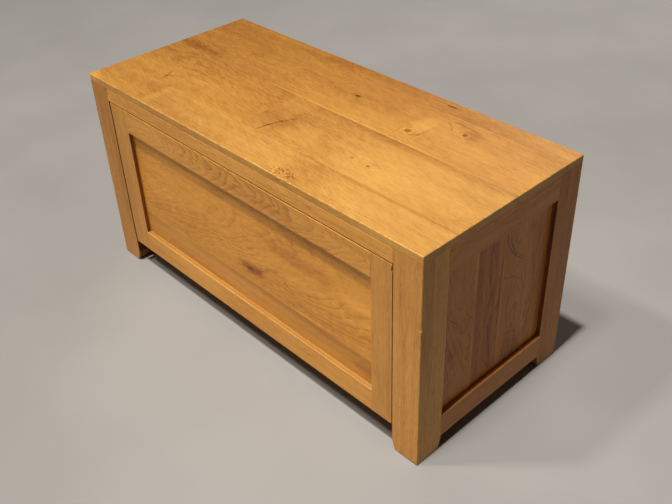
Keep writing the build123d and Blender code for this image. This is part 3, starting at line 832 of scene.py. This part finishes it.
board(
    "flap_panel_upper_board",
    "x",
    tone=AMBER,
    seed=457.0,
    pith=(0.08, 0.03),
    warp=0.09,
    ring=0.008,
    slope=0.12,
    ring_depth=0.18,
    mottle=0.18,
    streaky=0.14,
    marks=[
        patch(on_flap_panel(0.540, 0.216), (0.055, 0.011, 0.022), 0.17, soft=0.7),
        knot(on_flap_panel(0.533, 0.215), 0.007, 0.18, "x", long=4.0, halo=0.04),
        streak(on_flap_panel(0.550, 0.217), on_flap_panel(0.598, 0.240), 0.008, 0.12),
        streak(on_flap_panel(0.585, 0.243), on_flap_panel(0.625, 0.250), 0.006, 0.13),
        knot(on_flap_panel(0.647, 0.238), 0.004, 0.26, "x"),
        patch(on_flap_panel(0.690, 0.312), (0.115, 0.034, 0.022), 0.09, soft=0.45),
        patch(on_flap_panel(0.850, 0.300), (0.07, 0.10, 0.022), -0.07),
        patch(on_flap_panel(0.980, 0.260), (0.55, 0.30, 0.022), -0.05, soft=1.0),
    ],
)

# The chest's floor and its bearers
board(
    "floor_panel",
    "x",
    tone=PLYWOOD,
    seed=501.0,
    pith=(0.0, 0.6),
    ring=0.03,
    ring_depth=0.2,
    warp=0.4,
    roughness=0.62,
)
for index, name in enumerate(("floor_bearer_left", "floor_bearer_middle", "floor_bearer_right")):
    board(name, "y", tone=SAWN_PINE, seed=520.0 + 5 * index, roughness=0.65)


# Metals, plastics and felt
def scaled(colour, share):
    """A paler or darker colour of the same hue."""
    return tuple(min(channel * share, 1.0) for channel in colour)


def metal(name, colour, roughness, scratch_axis, tarnish, seed):
    """Satin metal with fine scratches along one axis and stains of tarnish."""
    shader = Shader(name)
    stretch = [900.0, 900.0, 900.0]
    stretch[AXES.index(scratch_axis)] = 40.0
    brushed = shader.noise(shader.place, stretch, detail=1.0, seed=seed)
    stains = shader.noise(shader.place, (90.0, 90.0, 90.0), detail=4.0, seed=seed + 3)
    mix = shader.plus(0.5, shader.times(stains, 1.2), shader.times(brushed, 0.3))
    colours = shader.ramp(mix, (0.1, tarnish), (0.5, colour), (0.95, scaled(colour, 1.15)))
    rough = shader.plus(roughness, shader.times(brushed, 0.2), shader.times(stains, -0.25))
    shader.set(Base_Color=colours, Metallic=1.0, Roughness=rough)
    shader.bump(brushed, 0.00006)
    return shader


def plastic(name, colour, seed):
    """Moulded plastic with a fine grain and scuffs."""
    shader = Shader(name)
    grain = shader.noise(shader.place, (2600.0, 2600.0, 2600.0), detail=1.0, seed=seed)
    scuffs = shader.noise(shader.place, (180.0, 180.0, 180.0), detail=4.0, seed=seed + 5)
    mix = shader.plus(0.5, shader.times(scuffs, 0.9), shader.times(grain, 0.3))
    colours = shader.ramp(mix, (0.1, scaled(colour, 0.8)), (0.5, colour), (0.95, scaled(colour, 1.3)))
    shader.set(Base_Color=colours, Roughness=shader.plus(0.45, shader.times(scuffs, -0.3)))
    shader.bump(grain, 0.00008)
    return shader


def felt(name, colour):
    """Dense felt: fine hairs over soft clumps."""
    shader = Shader(name)
    hairs = shader.noise(shader.place, (1400.0, 1400.0, 1400.0), detail=4.0, seed=641.0, roughness=0.7)
    clumps = shader.noise(shader.place, (260.0, 260.0, 260.0), detail=3.0, seed=643.0)
    mix = shader.plus(0.5, shader.times(hairs, 1.1), shader.times(clumps, 0.7))
    colours = shader.ramp(mix, (0.15, scaled(colour, 0.6)), (0.5, colour), (0.9, scaled(colour, 1.6)))
    shader.set(Base_Color=colours, Roughness=0.95, Sheen_Weight=0.35)
    shader.bump(shader.plus(hairs, clumps), 0.0004)
    return shader


BRASS = (0.72, 0.50, 0.21)
BRASS_DARK = (0.38, 0.25, 0.10)
ZINC = (0.62, 0.63, 0.65)
ZINC_DARK = (0.36, 0.36, 0.38)
brass = metal("brass", BRASS, 0.32, "x", BRASS_DARK, 601.0)
zinc = metal("zinc_steel", ZINC, 0.36, "z", ZINC_DARK, 607.0)
for side in ("left", "right"):
    paint([f"{side}_hinge_{piece}" for piece in ("carcass_leaf", "flap_leaf", "pin")], brass)
    paint([f"{side}_stay_{piece}" for piece in ("arm", "stud_plate", "flap_bracket")], zinc)
paint(["hinge_screws_carcass", "hinge_screws_flap"], brass)
paint(["stay_screws_carcass", "stay_screws_flap", "latch_strike"], zinc)
paint(["latch_housing"], plastic("brown_plastic", linear(120, 84, 52), 621.0))
paint(["latch_plunger"], plastic("black_plastic", linear(38, 36, 34), 631.0))


# Pieces that replace CAD nodes
def skin(mesh, loops):
    """Faces between each loop of vertices and the next, and a cap on the first and on the last."""
    for first, second in zip(loops, loops[1:]):
        for index in range(len(first)):
            following = (index + 1) % len(first)
            mesh.faces.new((first[index], second[index], second[following], first[following]))
    mesh.faces.new(loops[0])
    mesh.faces.new(list(reversed(loops[-1])))


def smooth_piece(name, mesh, shader):
    """An object with smooth shading, made of a finished bmesh."""
    bmesh.ops.recalc_face_normals(mesh, faces=mesh.faces)
    data = bpy.data.meshes.new(name)
    mesh.to_mesh(data)
    mesh.free()
    data.polygons.foreach_set("use_smooth", [True] * len(data.polygons))
    data.materials.append(shader.material)
    piece = bpy.data.objects.new(name, data)
    bpy.context.scene.collection.objects.link(piece)
    return piece


def coil_spring():
    """The latch's coil spring, built as a rigid helix, though the real one shortens against its fixed rear
    end as the plunger is pushed.
    """
    low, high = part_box("latch_spring")
    centre = (low + high) / 2
    wire = 0.00035
    turns = 8
    steps_per_turn = 28
    steps = turns * steps_per_turn
    sides = 10
    coil_radius = (high.x - low.x) / 2 - wire
    along = Vector((0.0, 1.0, 0.0))
    mesh = bmesh.new()
    loops = []
    for step in range(steps + 1):
        turn = 2 * math.pi * turns * step / steps
        outward = Vector((math.cos(turn), 0.0, math.sin(turn)))
        y = low.y + wire + (high.y - low.y - 2 * wire) * step / steps
        middle = Vector((centre.x, y, centre.z)) + outward * coil_radius
        loop = []
        for side in range(sides):
            angle = 2 * math.pi * side / sides
            around = outward * math.cos(angle) + along * math.sin(angle)
            loop.append(mesh.verts.new(middle + around * wire))
        loops.append(loop)
    skin(mesh, loops)
    spring = smooth_piece("coil_spring", mesh, metal("spring_steel", ZINC, 0.25, "y", ZINC_DARK, 613.0))
    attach(spring, "carcass")
    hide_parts("latch_spring")
    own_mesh(spring)


# A felt disc's outline from its upper face down its side, as shares of its radius and of its height
FELT_OUTLINE = (
    (0.0, 1.0),
    (0.55, 1.0),
    (0.86, 0.98),
    (0.96, 0.86),
    (1.0, 0.55),
    (0.985, 0.22),
    (0.95, 0.02),
    (0.5, 0.0),
)


def felt_pads():
    """Four felt discs with soft pressed edges, slightly out of round, in place of the plain CAD discs."""
    low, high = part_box("felt_glides")
    radius = 0.018
    sides = 64
    narrowest = 0.02
    out_of_round = 0.012
    mesh = bmesh.new()
    for x in (low.x + radius, high.x - radius):
        for y in (low.y + radius, high.y - radius):
            loops = []
            for share, height in FELT_OUTLINE:
                z = low.z + (high.z - low.z) * height
                loop = []
                for count in range(sides):
                    turn = 2 * math.pi * count / sides
                    dent = (1 + math.sin(5 * turn + 40 * x) * math.cos(3 * turn + 50 * y)) / 2
                    reach = radius * max(share, narrowest) * (1 - out_of_round * dent)
                    loop.append(mesh.verts.new((x + reach * math.cos(turn), y + reach * math.sin(turn), z)))
                loops.append(loop)
            skin(mesh, loops)
    pads = smooth_piece("felt_pads", mesh, felt("brown_felt", linear(92, 76, 60)))
    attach(pads, "carcass")
    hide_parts("felt_glides")


coil_spring()
felt_pads()


# Floor, lights and camera. Metres, watts, and for the sun watts per square metre
FLOOR_GREYS = (0.295, 0.325)
FLOOR_SIZE = 40
WARM_LIGHT = (1.0, 0.93, 0.84)
TOWARDS_SUN = Vector((0.0, -0.237, 0.971))


def studio_floor():
    """A plain pale floor with faint clouds, which belongs to the studio and not to the chest."""
    shader = Shader("pale_floor")
    clouds = shader.noise(shader.place, (3.0, 3.0, 3.0), detail=4.0, seed=3.0)
    stops = [(place, (grey, grey, grey)) for place, grey in zip((0.3, 0.7), FLOOR_GREYS)]
    shader.set(Base_Color=shader.ramp(shader.plus(0.5, clouds), *stops), Roughness=0.8)
    bpy.ops.mesh.primitive_plane_add(size=FLOOR_SIZE)
    plane = bpy.context.object
    plane.name = "studio_floor"
    plane.data.materials.append(shader.material)


def light(name, kind, power, placing, colour=WARM_LIGHT, **settings):
    """A light, warm unless told otherwise, with the settings that its kind has."""
    data = bpy.data.lights.new(name, kind)
    data.energy = power
    data.color = colour
    for key, value in settings.items():
        setattr(data, key, value)
    lamp = bpy.data.objects.new(name, data)
    lamp.matrix_world = placing
    bpy.context.scene.collection.objects.link(lamp)


def aimed(place, target):
    """The placing of a light that stands at one point and shines at another."""
    turn = (Vector(target) - Vector(place)).to_track_quat("-Z", "Y")
    return Matrix.Translation(place) @ turn.to_matrix().to_4x4()


studio_floor()
light(
    "overhead",
    "SUN",
    2.65,
    TOWARDS_SUN.to_track_quat("Z", "Y").to_matrix().to_4x4(),
    angle=math.radians(2.5),
)
light(
    "pool",
    "SPOT",
    215.0,
    aimed((0.35, -1.25, 3.9), (0.38, -0.20, 0.30)),
    shadow_soft_size=0.24,
    spot_size=math.radians(30.0),
    spot_blend=1.0,
)
light(
    "front_left",
    "SPOT",
    530.0,
    aimed((-1.80, -2.55, 5.5), (0.20, -0.25, 0.30)),
    shadow_soft_size=0.26,
    spot_size=math.radians(66.0),
    spot_blend=1.0,
)
light("front_fill", "AREA", 16.5, aimed((-1.2, -4.0, 0.9), (0.0, -0.2, 0.25)), shape="DISK", size=1.2)
light(
    "back_fill",
    "AREA",
    16.0,
    aimed((-0.9, 3.2, 1.9), (0.0, 0.2, 0.2)),
    colour=(1.0, 0.95, 0.90),
    shape="DISK",
    size=2.0,
)

world = bpy.data.worlds.new("studio")
world.use_nodes = True
background = world.node_tree.nodes["Background"]
background.inputs["Color"].default_value = (1.0, 0.88, 0.76, 1.0)
background.inputs["Strength"].default_value = 0.045
bpy.context.scene.world = world
bpy.context.scene.view_settings.view_transform = "Standard"

# The camera stands off the front right corner and looks down, rolled a little. Metres, degrees, millimetres
camera_place = (1.2427, -1.0754, 1.3296)
camera_heading, camera_pitch, camera_roll = 47.79, -36.09, -2.32
camera_data = bpy.data.cameras.new("camera")
camera_data.sensor_width = 36.0
camera_data.lens = 46.91
camera_data.clip_start = 0.05
camera = bpy.data.objects.new("camera", camera_data)
camera.matrix_world = (
    Matrix.Translation(camera_place)
    @ Matrix.Rotation(math.radians(camera_heading), 4, "Z")
    @ Matrix.Rotation(math.radians(90 + camera_pitch), 4, "X")
    @ Matrix.Rotation(math.radians(camera_roll), 4, "Z")
)
bpy.context.scene.collection.objects.link(camera)
bpy.context.scene.camera = camera
